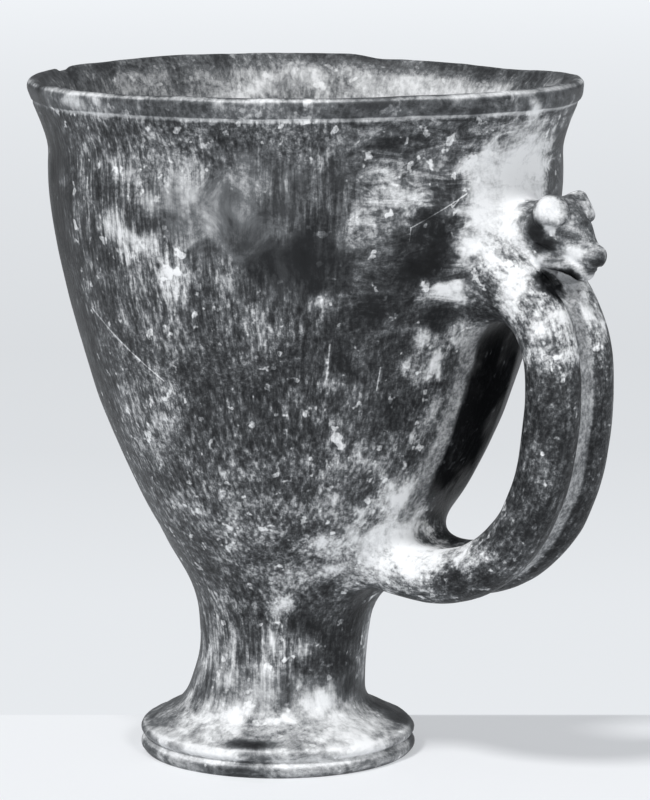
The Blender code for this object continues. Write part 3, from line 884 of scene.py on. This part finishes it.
def survey(points, clay):
    """What the finish needs to know at each point of the surface."""
    height = points[:, 2]
    out = points[:, 0] - drift_at(height)
    radius = np.hypot(out, points[:, 1])
    body = clay.body(points)
    strap, head = clay.strap(points), clay.head(points)
    outward, along = clay.on_route(points)
    return {
        "height": height, "radius": radius, "azimuth": np.degrees(np.arctan2(points[:, 1], out)),
        "hollow": step_up(0.0012, 0.0030, -body) * (height > HEIGHT - HOLLOW_DEPTH - 0.001),
        "strap": step_up(0.004, 0.0, strap) * step_up(0.0, 0.003, body),
        "head": step_up(0.0015, 0.0, head) * step_up(0.0, 0.004, body),
        "outward": outward, "along": along,
        "ragged": np.clip(1 + RAGGEDNESS * lumps(points, RAG_WIDTH, 41, 4), *RAGGED_LIMITS),
    }


def turn_between(azimuth, middle):
    """The angle from a direction, in degrees, from -180 to 180."""
    return (azimuth - middle + 180) % 360 - 180


def relief(points, normals, facts):
    """The points moved as the hand-made surface stands: unevenness, the line under the rim and wear."""
    height, azimuth = facts["height"], facts["azimuth"]
    standing = height > 0.0006
    layers = (SOFT_UNEVENNESS, FINE_UNEVENNESS)
    uneven = sum(high * lumps(points, width, seed) for high, width, seed in layers)
    on_side = (1 - facts["hollow"]) * (1 - facts["strap"]) * (1 - facts["head"])
    line_height = HEIGHT - RIM_LINE_DROP - RIM_LINE_SWAY * np.sin(np.radians(azimuth * 3 + 40))
    on_right = step_up(28, 58, azimuth + 60) * step_up(60, 35, azimuth)
    width = RIM_LINE_WIDTH + 0.0003 * on_right
    line = np.exp(-((height - line_height) / width) ** 2)
    above_line = np.abs(height - line_height - LEDGE_RISE)
    ledge = on_right * LEDGE_HEIGHT * step_up(0.0022, 0.0002, above_line)
    move = uneven + on_side * (ledge - (RIM_LINE_DEPTH - 0.00006 * on_right) * line)
    points = points + normals * (move * standing)[:, None]
    near_rim = step_up(HEIGHT - RIM_ZONE, HEIGHT, height)
    sway = RIM_SWAY * np.sin(np.radians(azimuth * 2 + 150)) + 0.0003 * lumps(points * (1, 1, 0), 0.030, 5)
    sway -= RIM_DIP * step_up(108, 100, np.abs(azimuth - 10)) * step_up(30, 78, azimuth)
    chip = step_up(*CHIP_EDGES, np.abs(turn_between(azimuth, CHIP_AZIMUTH) + 1.2 * lumps(points, 0.003, 6)))
    sway -= chip * (CHIP_DEPTH + 0.0004 * lumps(points, 0.002, 7))
    points[:, 2] += near_rim * (sway - RIM_DROP)
    points[:, 2] = np.where(standing, np.maximum(points[:, 2], 0.0004), np.maximum(points[:, 2], 0.0))
    return points


def patch_cover(facts, azimuth, height, across, up, tilt):
    """How strongly a patch on the turned body covers each point."""
    sideways = np.radians(turn_between(facts["azimuth"], azimuth)) * facts["radius"]
    upward = facts["height"] - height * MM
    turn = math.radians(tilt)
    along = (sideways * math.cos(turn) + upward * math.sin(turn)) / (across * MM)
    beside = (upward * math.cos(turn) - sideways * math.sin(turn)) / (up * MM)
    return np.exp(-((along ** 2 + beside ** 2) * facts["ragged"]) ** 1.4 * 0.7)


def lime_and_painted_light_cover(points, facts):
    """How much lime lies on each point, from 0 to 1, together with painted light: painted shade inside the
    handle's loop, under the head's jaw and throat and on the stem's right side, a painted reflection at the
    stem's right edge, and a painted highlight on the lip's crest and the bowl's sheen.
    """
    on_body = (1 - facts["strap"]) * (1 - facts["head"]) * (1 - facts["hollow"])
    cover = BASE_COVER + CLOUD_COVER * lumps(points, CLOUD_WIDTH, 21)
    for patches, share in ((BODY_PATCHES, on_body), (INNER_PATCHES, facts["hollow"])):
        for *shape, change in patches:
            cover += change * patch_cover(facts, *shape) * share
    chance = np.random.default_rng(PATCH_SEED)
    for _ in range(HIDDEN_PATCHES):
        azimuth, height = chance.uniform(30, 220), chance.uniform(8, 172)
        across, up, tilt = chance.uniform(3, 12), chance.uniform(3, 14), chance.uniform(-40, 40)
        change = chance.choice((-0.25, 0.16, 0.28))
        cover += change * patch_cover(facts, azimuth, height, across, up, tilt) * on_body
    for x, y, z, half_x, half_y, half_z, change in BLOB_PATCHES:
        away = (points - np.array((x, y, z)) * MM) / (np.array((half_x, half_y, half_z)) * MM)
        blob = np.exp(-((away ** 2).sum(1) * facts["ragged"]) ** 1.3 * 0.7)
        cover += change * blob * (1 - facts["hollow"])
    rim_line = np.exp(-((facts["height"] - HEIGHT + RIM_LINE_DROP) / RIM_LINE_LIME) ** 2)
    # The pale line along the lip's crest is partly wear and partly a painted highlight where the lip catches
    # the light.
    lit_and_worn_crest = np.exp(-((facts["height"] - HEIGHT + CREST_DROP) / CREST_WIDTH) ** 2)
    lit_and_worn_crest *= facts["radius"] > RIM_RADIUS - LIP_THICKNESS / 2
    cover += (RIM_LINE_COVER * rim_line + CREST_HIGHLIGHT_AND_WEAR * lit_and_worn_crest) * on_body
    for share, strength in FOOT_BEADS:
        bead = np.exp(-((facts["height"] - share * FOOT_EDGE) / BEAD_WIDTH) ** 2)
        cover += strength * bead * (facts["radius"] > FOOT_RADIUS - 0.004)
    cover += HEAD_COVER * facts["head"] + HOLLOW_COVER * facts["hollow"] + STRAP_COVER * facts["strap"]
    # Painted shade on the wall inside the handle's loop, where the handle keeps the light off
    ragged = points[:, 1] + 0.0012 * lumps(points, 0.009, 27)
    loop_painted_shade = step_up(-0.0084, -0.0054, ragged) * step_up(0.030, 0.016, points[:, 1]) * (points[:, 0] > 0.02)
    loop_painted_shade *= step_up(0.060, 0.074, facts["height"]) * step_up(0.131, 0.124, facts["height"])
    cover += LOOP_PAINTED_SHADE * loop_painted_shade * on_body
    return np.clip(cover, 0.0, MOST_COVER)


def calm_cover(facts):
    """Where the burnish is smooth, with little of the streaks."""
    calm = np.zeros(len(facts["height"]))
    for *shape, strength in CALM_PATCHES:
        calm += strength * patch_cover(facts, *shape)
    on_foot = 0.50 * step_up(0.030, 0.020, facts["height"])
    on_lip = 0.55 * step_up(HEIGHT - 0.0066, HEIGHT - 0.0056, facts["height"])
    calm = np.maximum(np.maximum(calm, on_foot), on_lip)
    return np.clip(np.where(facts["hollow"] > 0.5, 0.55, calm), 0, 0.9)


def swirl_cover(points, facts):
    """Where the surface was wiped and smeared round the handle rather than burnished upright."""
    near_handle = step_up(52, 38, np.abs(facts["azimuth"] + 2 * lumps(points, 0.012, 33)))
    swirl = near_handle * (1 - 0.6 * facts["hollow"]) * (0.25 + 0.6 * step_up(0.112, 0.132, facts["height"]))
    return np.maximum(swirl, 0.85 * step_up(0.0120, 0.0080, facts["height"]))


def raw_cover(points, facts):
    """Where the clay was left unburnished: the channel of the handle and the wall beside its loop."""
    side = np.abs(points[:, 1])
    ragged = lumps(points, 0.006, 31)
    channel = step_up(0.0034, 0.0026, side) * step_up(0.0030, 0.0042, facts["outward"]) * facts["strap"]
    channel *= step_up(0.131, 0.127, facts["height"])
    strip = step_up(0.0128, 0.0112, side + 0.0008 * ragged) * step_up(0.0048, 0.0070, side + 0.0008 * ragged)
    strip *= step_up(0.064, 0.070, facts["height"]) * step_up(0.126, 0.120, facts["height"])
    strip *= (np.abs(facts["azimuth"] + 30) < 30) * (1 - facts["strap"]) * (1 - facts["hollow"])
    return np.clip(channel + strip, 0, 1)


def write_attribute(mesh, name, values):
    """A number for each vertex, kept on the mesh for the material."""
    kept = mesh.attributes.new(name, 'FLOAT', 'POINT')
    kept.data.foreach_set("value", values.astype(np.float32))


def write_vectors(mesh, name, *columns):
    """A vector for each vertex, kept on the mesh for the material."""
    kept = mesh.attributes.new(name, 'FLOAT_VECTOR', 'POINT')
    kept.data.foreach_set("vector", np.column_stack(columns).astype(np.float32).ravel())


def painted(obj, clay):
    """Gives the clay its relief and the numbers that its material reads."""
    mesh = obj.data
    points, normals = points_of(mesh), normals_of(mesh)
    facts = survey(points, clay)
    moved = relief(points, normals, facts)
    mesh.vertices.foreach_set("co", moved.astype(np.float32).ravel())
    mesh.update()
    # The lime attribute also carries painted shade and painted highlights.
    write_attribute(mesh, "lime_and_painted_light", lime_and_painted_light_cover(points, facts))
    write_attribute(mesh, "raw", raw_cover(points, facts))
    write_attribute(mesh, "calm", calm_cover(facts))
    write_attribute(mesh, "swirl", swirl_cover(points, facts))
    write_attribute(mesh, "strap", np.maximum(facts["strap"], 0.2 * facts["head"]))
    write_vectors(mesh, "grain", points[:, 1], facts["outward"], facts["along"])
    unrolled = np.where(facts["hollow"] > 0.5, 180.0, facts["azimuth"])
    write_vectors(mesh, "unrolled", unrolled * UNROLLED_DEGREE, facts["height"], np.zeros(len(points)))


def attribute(tree, name):
    """The numbers painted on the mesh under a name."""
    return add_node(tree, 'ShaderNodeAttribute', attribute_name=name)


def stretched(tree, vector, scale):
    """Coordinates stretched along each axis."""
    return add_node(tree, 'ShaderNodeVectorMath', {0: vector, 1: scale}, operation='MULTIPLY').outputs[0]


def noise_value(tree, vector, scale, detail=4.0, rough=0.6, warp=0.0):
    """The value of a noise texture, spread over 0 to 1."""
    made = add_node(tree, 'ShaderNodeTexNoise', {"Vector": vector, "Scale": scale, "Detail": detail,
                                                 "Roughness": rough, "Distortion": warp})
    spread = add_node(tree, 'ShaderNodeMapRange', {0: made.outputs[0], 1: 0.30, 2: 0.70})
    return spread.outputs[0]


def smooth_step(tree, value, low, high):
    """A soft step from 0 at low to 1 at high."""
    made = add_node(tree, 'ShaderNodeMapRange', {0: value, 1: low, 2: high}, interpolation_type='SMOOTHSTEP')
    return made.outputs[0]


def swing(tree, value, amount):
    """A value from 0 to 1 turned into a swing to both sides of nothing."""
    return calculate(tree, 'MULTIPLY', calculate(tree, 'SUBTRACT', value, 0.5), amount)


def total(tree, first, *others):
    """The sum of several values."""
    for other in others:
        first = calculate(tree, 'ADD', first, other)
    return first


def mixed(tree, share, a, b):
    """Two colours mixed by a share."""
    made = add_node(tree, 'ShaderNodeMix', {0: share, 6: a, 7: b}, data_type='RGBA')
    return made.outputs[2]


def blended(tree, share, a, b):
    """Two numbers mixed by a share."""
    return add_node(tree, 'ShaderNodeMix', {0: share, 2: a, 3: b}).outputs[0]


def streak_group():
    """A group that puts out burnishing streaks, mealy spots, smears and flecks over given coordinates."""
    tree = bpy.data.node_groups.new("Burnished streaks", 'ShaderNodeTree')
    add_sockets(tree, 'INPUT', (("Vector", "Vector"), ("Streaks per metre", "Float", 860.0),
                                ("Spots per metre", "Float", 860.0), ("Length", "Float", 0.10)))
    add_sockets(tree, 'OUTPUT', [(name, "Float") for name in ("Streaks", "Spots", "Smears", "Flecks")])
    given = tree.nodes.new('NodeGroupInput').outputs
    drawn = add_node(tree, 'ShaderNodeCombineXYZ', {"X": 1.0, "Y": 1.0, "Z": given["Length"]}).outputs[0]
    lengthwise = stretched(tree, given["Vector"], drawn)
    streaks = noise_value(tree, lengthwise, given["Streaks per metre"], 6.0, 0.66)
    spots = noise_value(tree, given["Vector"], given["Spots per metre"], 6.0, 0.72)
    level = stretched(tree, given["Vector"], (0.36, 0.36, 1.0))
    smears = noise_value(tree, level, 230.0, 7.0, 0.66, 1.6)
    flecks = smooth_step(tree, noise_value(tree, given["Vector"], 290.0, 2.0, 0.5), 0.84, 1.0)
    shown = tree.nodes.new('NodeGroupOutput').inputs
    for name, value in (("Streaks", streaks), ("Spots", spots), ("Smears", smears), ("Flecks", flecks)):
        tree.links.new(value, shown[name])
    return tree


def scratch_group():
    """A group that puts out a hairline between two places on the unrolled surface."""
    tree = bpy.data.node_groups.new("Hairline scratch", 'ShaderNodeTree')
    add_sockets(tree, 'INPUT', (("Vector", "Vector"), ("Start", "Vector"), ("End", "Vector"),
                                ("Width", "Float", 0.0003)))
    add_sockets(tree, 'OUTPUT', (("Scratch", "Float"),))
    given = tree.nodes.new('NodeGroupInput').outputs

    def vectors(operation, *values):
        return add_node(tree, 'ShaderNodeVectorMath', dict(enumerate(values)), operation=operation).outputs

    line = vectors('SUBTRACT', given["End"], given["Start"])[0]
    away = vectors('SUBTRACT', given["Vector"], given["Start"])[0]
    along = vectors('DOT_PRODUCT', away, line)["Value"]
    share = calculate(tree, 'DIVIDE', along, vectors('DOT_PRODUCT', line, line)["Value"], clamp=True)
    reached = add_node(tree, 'ShaderNodeVectorMath', {0: line, "Scale": share}, operation='SCALE').outputs[0]
    distance = vectors('LENGTH', vectors('SUBTRACT', away, reached)[0])["Value"]
    scratch = smooth_step(tree, distance, given["Width"], 0.0)
    tree.links.new(scratch, tree.nodes.new('NodeGroupOutput').inputs[0])
    return tree


def add_group(tree, group, inputs):
    """The outputs of a node group that is placed in a material with its own values."""
    return add_node(tree, 'ShaderNodeGroup', inputs, node_tree=group).outputs


def clay_ramp(tree, level, colours):
    """The clay's colour for a level from painted shade at 0, half as bright as the bare burnished clay,
    through bare clay, to thick lime at 1.
    """
    ramp = tree.nodes.new('ShaderNodeValToRGB')
    stops = ramp.color_ramp.elements
    bare, worn, lime_and_painted_light = Vector(colours.dark), Vector(colours.middle), Vector(colours.lime_and_painted_light)
    # The stop at 0, half the bare clay's colour, is painted shade for the loop's wall and the head's throat.
    shades = ((0.0, bare * 0.5), (0.24, bare), (0.42, bare.lerp(worn, 0.28)), (0.56, worn),
              (0.70, worn.lerp(lime_and_painted_light, 0.34)), (0.85, worn.lerp(lime_and_painted_light, 0.78)), (1.0, lime_and_painted_light))
    while len(stops) < len(shades):
        stops.new(1.0)
    for stop, (place, colour) in zip(stops, shades):
        stop.position = place
        stop.color = (*colour[:3], 1.0)
    tree.links.new(level, ramp.inputs[0])
    return ramp.outputs[0]


def clay_material(colours):
    """Dark burnished clay with pale flecks drawn out by the burnishing and lime lying on it, and with the
    painted shade and painted highlights that the lime attribute carries.
    """
    material = bpy.data.materials.new("burnished clay")
    material.use_nodes = True
    tree = material.node_tree
    shader = tree.nodes["Principled BSDF"]
    place = tree.nodes.new('ShaderNodeTexCoord').outputs["Object"]
    streaks_group, hairlines = streak_group(), scratch_group()
    body = add_group(tree, streaks_group, {"Vector": place})
    grain = attribute(tree, "grain").outputs["Vector"]
    strap = add_group(tree, streaks_group, {"Vector": grain, "Length": STRAP_STREAK_LENGTH})
    lime_and_painted_light, raw, calm, swirl, on_strap = [attribute(tree, name).outputs["Fac"]
                                        for name in ("lime_and_painted_light", "raw", "calm", "swirl", "strap")]
    broad = noise_value(tree, place, 95.0, 6.0, 0.64, 0.6)
    mealy = smooth_step(tree, noise_value(tree, place, 38.0, 3.0, 0.5), 0.35, 0.75)
    drawn = blended(tree, on_strap, body["Streaks"], strap["Streaks"])
    worn_strap = calculate(tree, 'MULTIPLY', on_strap, 0.4)
    mealy = calculate(tree, 'MAXIMUM', calculate(tree, 'MULTIPLY', mealy, 0.34), worn_strap)
    drawn = blended(tree, mealy, drawn, body["Spots"])
    wiped = calculate(tree, 'MULTIPLY', swirl, calculate(tree, 'SUBTRACT', 1.0, on_strap))
    drawn = blended(tree, wiped, drawn, body["Smears"])
    thick = calculate(tree, 'MULTIPLY', smooth_step(tree, lime_and_painted_light, 0.62, 0.92), 0.36)
    uncovered = calculate(tree, 'SUBTRACT', 1.0, thick)
    lively = calculate(tree, 'MULTIPLY', calculate(tree, 'SUBTRACT', 1.0, calm), uncovered)
    texture = total(tree, swing(tree, drawn, STREAK_SWING), swing(tree, body["Spots"], SPOT_SWING))
    texture = calculate(tree, 'MULTIPLY', lively, texture)
    flecks = calculate(tree, 'MULTIPLY', calculate(tree, 'MULTIPLY', body["Flecks"], lively), FLECK_LIFT)
    level = total(tree, lime_and_painted_light, texture, swing(tree, broad, CLOUD_SWING), flecks)
    raw_level = total(tree, swing(tree, body["Spots"], RAW_SPOTS), swing(tree, broad, RAW_CLOUDS), RAW_LEVEL)
    level = blended(tree, raw, level, raw_level)
    unrolled = attribute(tree, "unrolled").outputs["Vector"]
    for (from_turn, from_height), (to_turn, to_height), width in SCRATCHES:
        ends = {"Start": (from_turn * UNROLLED_DEGREE, from_height * MM, 0.0),
                "End": (to_turn * UNROLLED_DEGREE, to_height * MM, 0.0)}
        scratch = add_group(tree, hairlines, {"Vector": unrolled, "Width": width * MM, **ends})["Scratch"]
        level = total(tree, level, calculate(tree, 'MULTIPLY', scratch, SCRATCH_LIFT))
    tree.links.new(clay_ramp(tree, level, colours), shader.inputs["Base Color"])
    dull = smooth_step(tree, level, 0.35, 0.85)
    tree.links.new(blended(tree, dull, BURNISHED_ROUGHNESS, LIME_ROUGHNESS), shader.inputs["Roughness"])
    bump = add_node(tree, 'ShaderNodeBump', {"Strength": BUMP_STRENGTH, "Distance": BUMP_DISTANCE,
                                             "Height": level})
    tree.links.new(bump.outputs[0], shader.inputs["Normal"])
    sheen = calculate(tree, 'MULTIPLY', smooth_step(tree, lime_and_painted_light, 0.0, 0.15), SHEEN)
    tree.links.new(sheen, shader.inputs["Specular IOR Level"])
    return material


def finished_piece(obj, material):
    """Gives a finished piece its material and its body."""
    obj.data.materials.clear()
    obj.data.materials.append(material)
    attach(obj, "root")


class GobletColours(bpy.types.PropertyGroup):
    """The clay's colours."""

    dark: bpy.props.FloatVectorProperty(name="Burnished clay", description="Colour of the bare clay",
                                        default=(0.0165, 0.0175, 0.019, 1.0), size=4, subtype='COLOR')
    middle: bpy.props.FloatVectorProperty(name="Fleck", description="Colour of the worn streaks and flecks",
                                          default=(0.125, 0.131, 0.137, 1.0), size=4, subtype='COLOR')
    # The same colour shows the painted highlights on the lip's crest and the bowl's sheen.
    lime_and_painted_light: bpy.props.FloatVectorProperty(name="Lime", description="Colour of the lime that lies on the clay",
                                        default=(0.83, 0.84, 0.85, 1.0), size=4, subtype='COLOR')


class GobletSizes(bpy.types.PropertyGroup):
    """How finely the goblet is built."""

    turns: bpy.props.IntProperty(name="Turns", description="Steps round the turned body",
                                 default=TURNS, min=24)


class StageSettings(bpy.types.PropertyGroup):
    """The floor and the light."""

    floor_radius: bpy.props.FloatProperty(name="Floor radius", description="How far the floor reaches",
                                          default=7.0, unit='LENGTH')
    key_strength: bpy.props.FloatProperty(name="Key light", description="Strength of the main light",
                                          default=2.3)
    fill_strength: bpy.props.FloatProperty(name="Sky", description="Strength of the light all round",
                                           default=0.32)


class GOBLET_OT_clay(bpy.types.Operator):
    """Build the fired clay: foot, stem, bowl, handle and head"""

    bl_idname = "goblet.clay"
    bl_label = "Clay goblet"

    def execute(self, context):
        material = clay_material(context.scene.goblet_colours)
        clay = Clay()
        body = turned_body(material, context.scene.goblet_sizes.turns)
        handle = modelled_handle(clay)
        goblet = joined_clay(body, handle, clay)
        painted(goblet, clay)
        finished_piece(goblet, material)
        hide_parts("goblet")
        return {'FINISHED'}


def view_directions():
    """The camera's level directions: back towards it and to its right."""
    turn = math.radians(CAMERA_TURN)
    return Vector((math.sin(turn), -math.cos(turn), 0.0)), Vector((math.cos(turn), math.sin(turn), 0.0))


def set_camera():
    """The camera at the photograph's place."""
    back, right = view_directions()
    data = bpy.data.cameras.new("camera")
    data.lens = CAMERA_LENS
    data.clip_start = 0.05
    data.clip_end = 50.0
    camera = link(bpy.data.objects.new("camera", data))
    camera.location = back * CAMERA_DISTANCE + right * CAMERA_SIDE + Vector((0, 0, CAMERA_HEIGHT))
    camera.rotation_euler = (math.radians(90 - CAMERA_TILT), 0.0, math.radians(CAMERA_TURN))
    bpy.context.scene.camera = camera


def floor_material():
    """A plain pale floor, and behind the goblet a paper ground that glows evenly and takes no shadow."""
    material = bpy.data.materials.new("pale floor")
    material.use_nodes = True
    tree = material.node_tree
    shader = tree.nodes["Principled BSDF"]
    shader.inputs["Base Color"].default_value = FLOOR_COLOUR
    shader.inputs["Roughness"].default_value = 0.9
    shader.inputs["Specular IOR Level"].default_value = 0.1
    back, _ = view_directions()
    place = tree.nodes.new('ShaderNodeTexCoord').outputs["Object"]
    away = add_node(tree, 'ShaderNodeVectorMath', {0: place, 1: tuple(-back)}, operation='DOT_PRODUCT')
    behind = away.outputs["Value"]
    paper = tree.nodes.new('ShaderNodeEmission')
    tone = tree.nodes.new('ShaderNodeValToRGB')
    tree.links.new(calculate(tree, 'DIVIDE', behind, PAPER_DEPTH), tone.inputs[0])
    while len(tone.color_ramp.elements) < len(PAPER_TONES):
        tone.color_ramp.elements.new(1.0)
    for stop, (share, shade) in zip(tone.color_ramp.elements, PAPER_TONES):
        stop.position = share
        stop.color = (*(shade * tint for tint in PAPER_TINT), 1.0)
    tree.links.new(tone.outputs[0], paper.inputs["Color"])
    near_edge, far_edge = PAPER_EDGE
    on_paper = add_node(tree, 'ShaderNodeMapRange', {0: behind, 1: near_edge, 2: far_edge}).outputs[0]
    glow = tree.nodes.new('ShaderNodeEmission')
    glow.inputs["Color"].default_value = FLOOR_GLOW
    front = add_node(tree, 'ShaderNodeMixShader', {0: GLOW_SHARE, 1: shader.outputs[0], 2: glow.outputs[0]})
    both = add_node(tree, 'ShaderNodeMixShader', {0: on_paper, 1: front.outputs[0], 2: paper.outputs[0]})
    tree.links.new(both.outputs[0], tree.nodes["Material Output"].inputs["Surface"])
    return material


def sun(name, strength, from_camera, elevation, softness):
    """A distant lamp, so many degrees round from the camera and up from the floor."""
    data = bpy.data.lights.new(name, 'SUN')
    data.energy = strength
    data.angle = math.radians(softness)
    lamp = link(bpy.data.objects.new(name, data))
    turn, rise = math.radians(CAMERA_TURN + from_camera), math.radians(elevation)
    away = Vector((math.sin(turn) * math.cos(rise), -math.cos(turn) * math.cos(rise), math.sin(rise)))
    lamp.rotation_mode = 'QUATERNION'
    lamp.rotation_quaternion = away.to_track_quat('Z', 'Y')
    lamp.location = away * 3


class GOBLET_OT_stage(bpy.types.Operator):
    """Set the camera, the pale floor and the studio light"""

    bl_idname = "goblet.stage"
    bl_label = "Floor and light"

    def execute(self, context):
        settings = context.scene.goblet_stage
        set_camera()
        turn = np.linspace(0, math.tau, FLOOR_SIDES, endpoint=False)
        ring = np.column_stack([np.cos(turn), np.sin(turn), np.zeros(FLOOR_SIDES)]) * settings.floor_radius
        floor = mesh_object("floor", ring, np.arange(FLOOR_SIDES)[None, :])
        floor.location.z = -FLOOR_DROP
        floor.data.materials.append(floor_material())
        sun("key light", settings.key_strength, *KEY_LIGHT)
        sun("second light", settings.key_strength * SECOND_SHARE, *SECOND_LIGHT)
        world = bpy.data.worlds.new("studio")
        world.use_nodes = True
        sky = world.node_tree.nodes["Background"]
        sky.inputs["Color"].default_value = SKY_COLOUR
        sky.inputs["Strength"].default_value = settings.fill_strength
        context.scene.world = world
        context.scene.view_settings.view_transform = 'Standard'
        return {'FINISHED'}


class GOBLET_PT_build(bpy.types.Panel):
    """Lists what builds the goblet"""

    bl_label = "Goblet"
    bl_idname = "GOBLET_PT_build"
    bl_space_type = 'VIEW_3D'
    bl_region_type = 'UI'
    bl_category = "Goblet"

    def draw(self, context):
        layout = self.layout
        for attribute_name, _ in SETTINGS:
            settings = getattr(context.scene, attribute_name)
            for name in settings.__annotations__:
                layout.prop(settings, name)
        for operator in OPERATORS:
            layout.operator(operator.bl_idname)


SETTINGS = (("goblet_sizes", GobletSizes), ("goblet_colours", GobletColours),
            ("goblet_stage", StageSettings))
OPERATORS = (GOBLET_OT_clay, GOBLET_OT_stage)


def register():
    """Registers the settings, the operators and the panel."""
    for name, group in SETTINGS:
        bpy.utils.register_class(group)
        setattr(bpy.types.Scene, name, bpy.props.PointerProperty(type=group))
    for kind in OPERATORS + (GOBLET_PT_build,):
        bpy.utils.register_class(kind)


def unregister():
    """Takes them all out again."""
    for kind in (GOBLET_PT_build,) + OPERATORS[::-1]:
        bpy.utils.unregister_class(kind)
    for name, group in SETTINGS:
        delattr(bpy.types.Scene, name)
        bpy.utils.unregister_class(group)


def main():
    """Builds the goblet on its stage."""
    register()
    bpy.ops.goblet.clay()
    bpy.ops.goblet.stage()


if __name__ == "__main__":
    main()
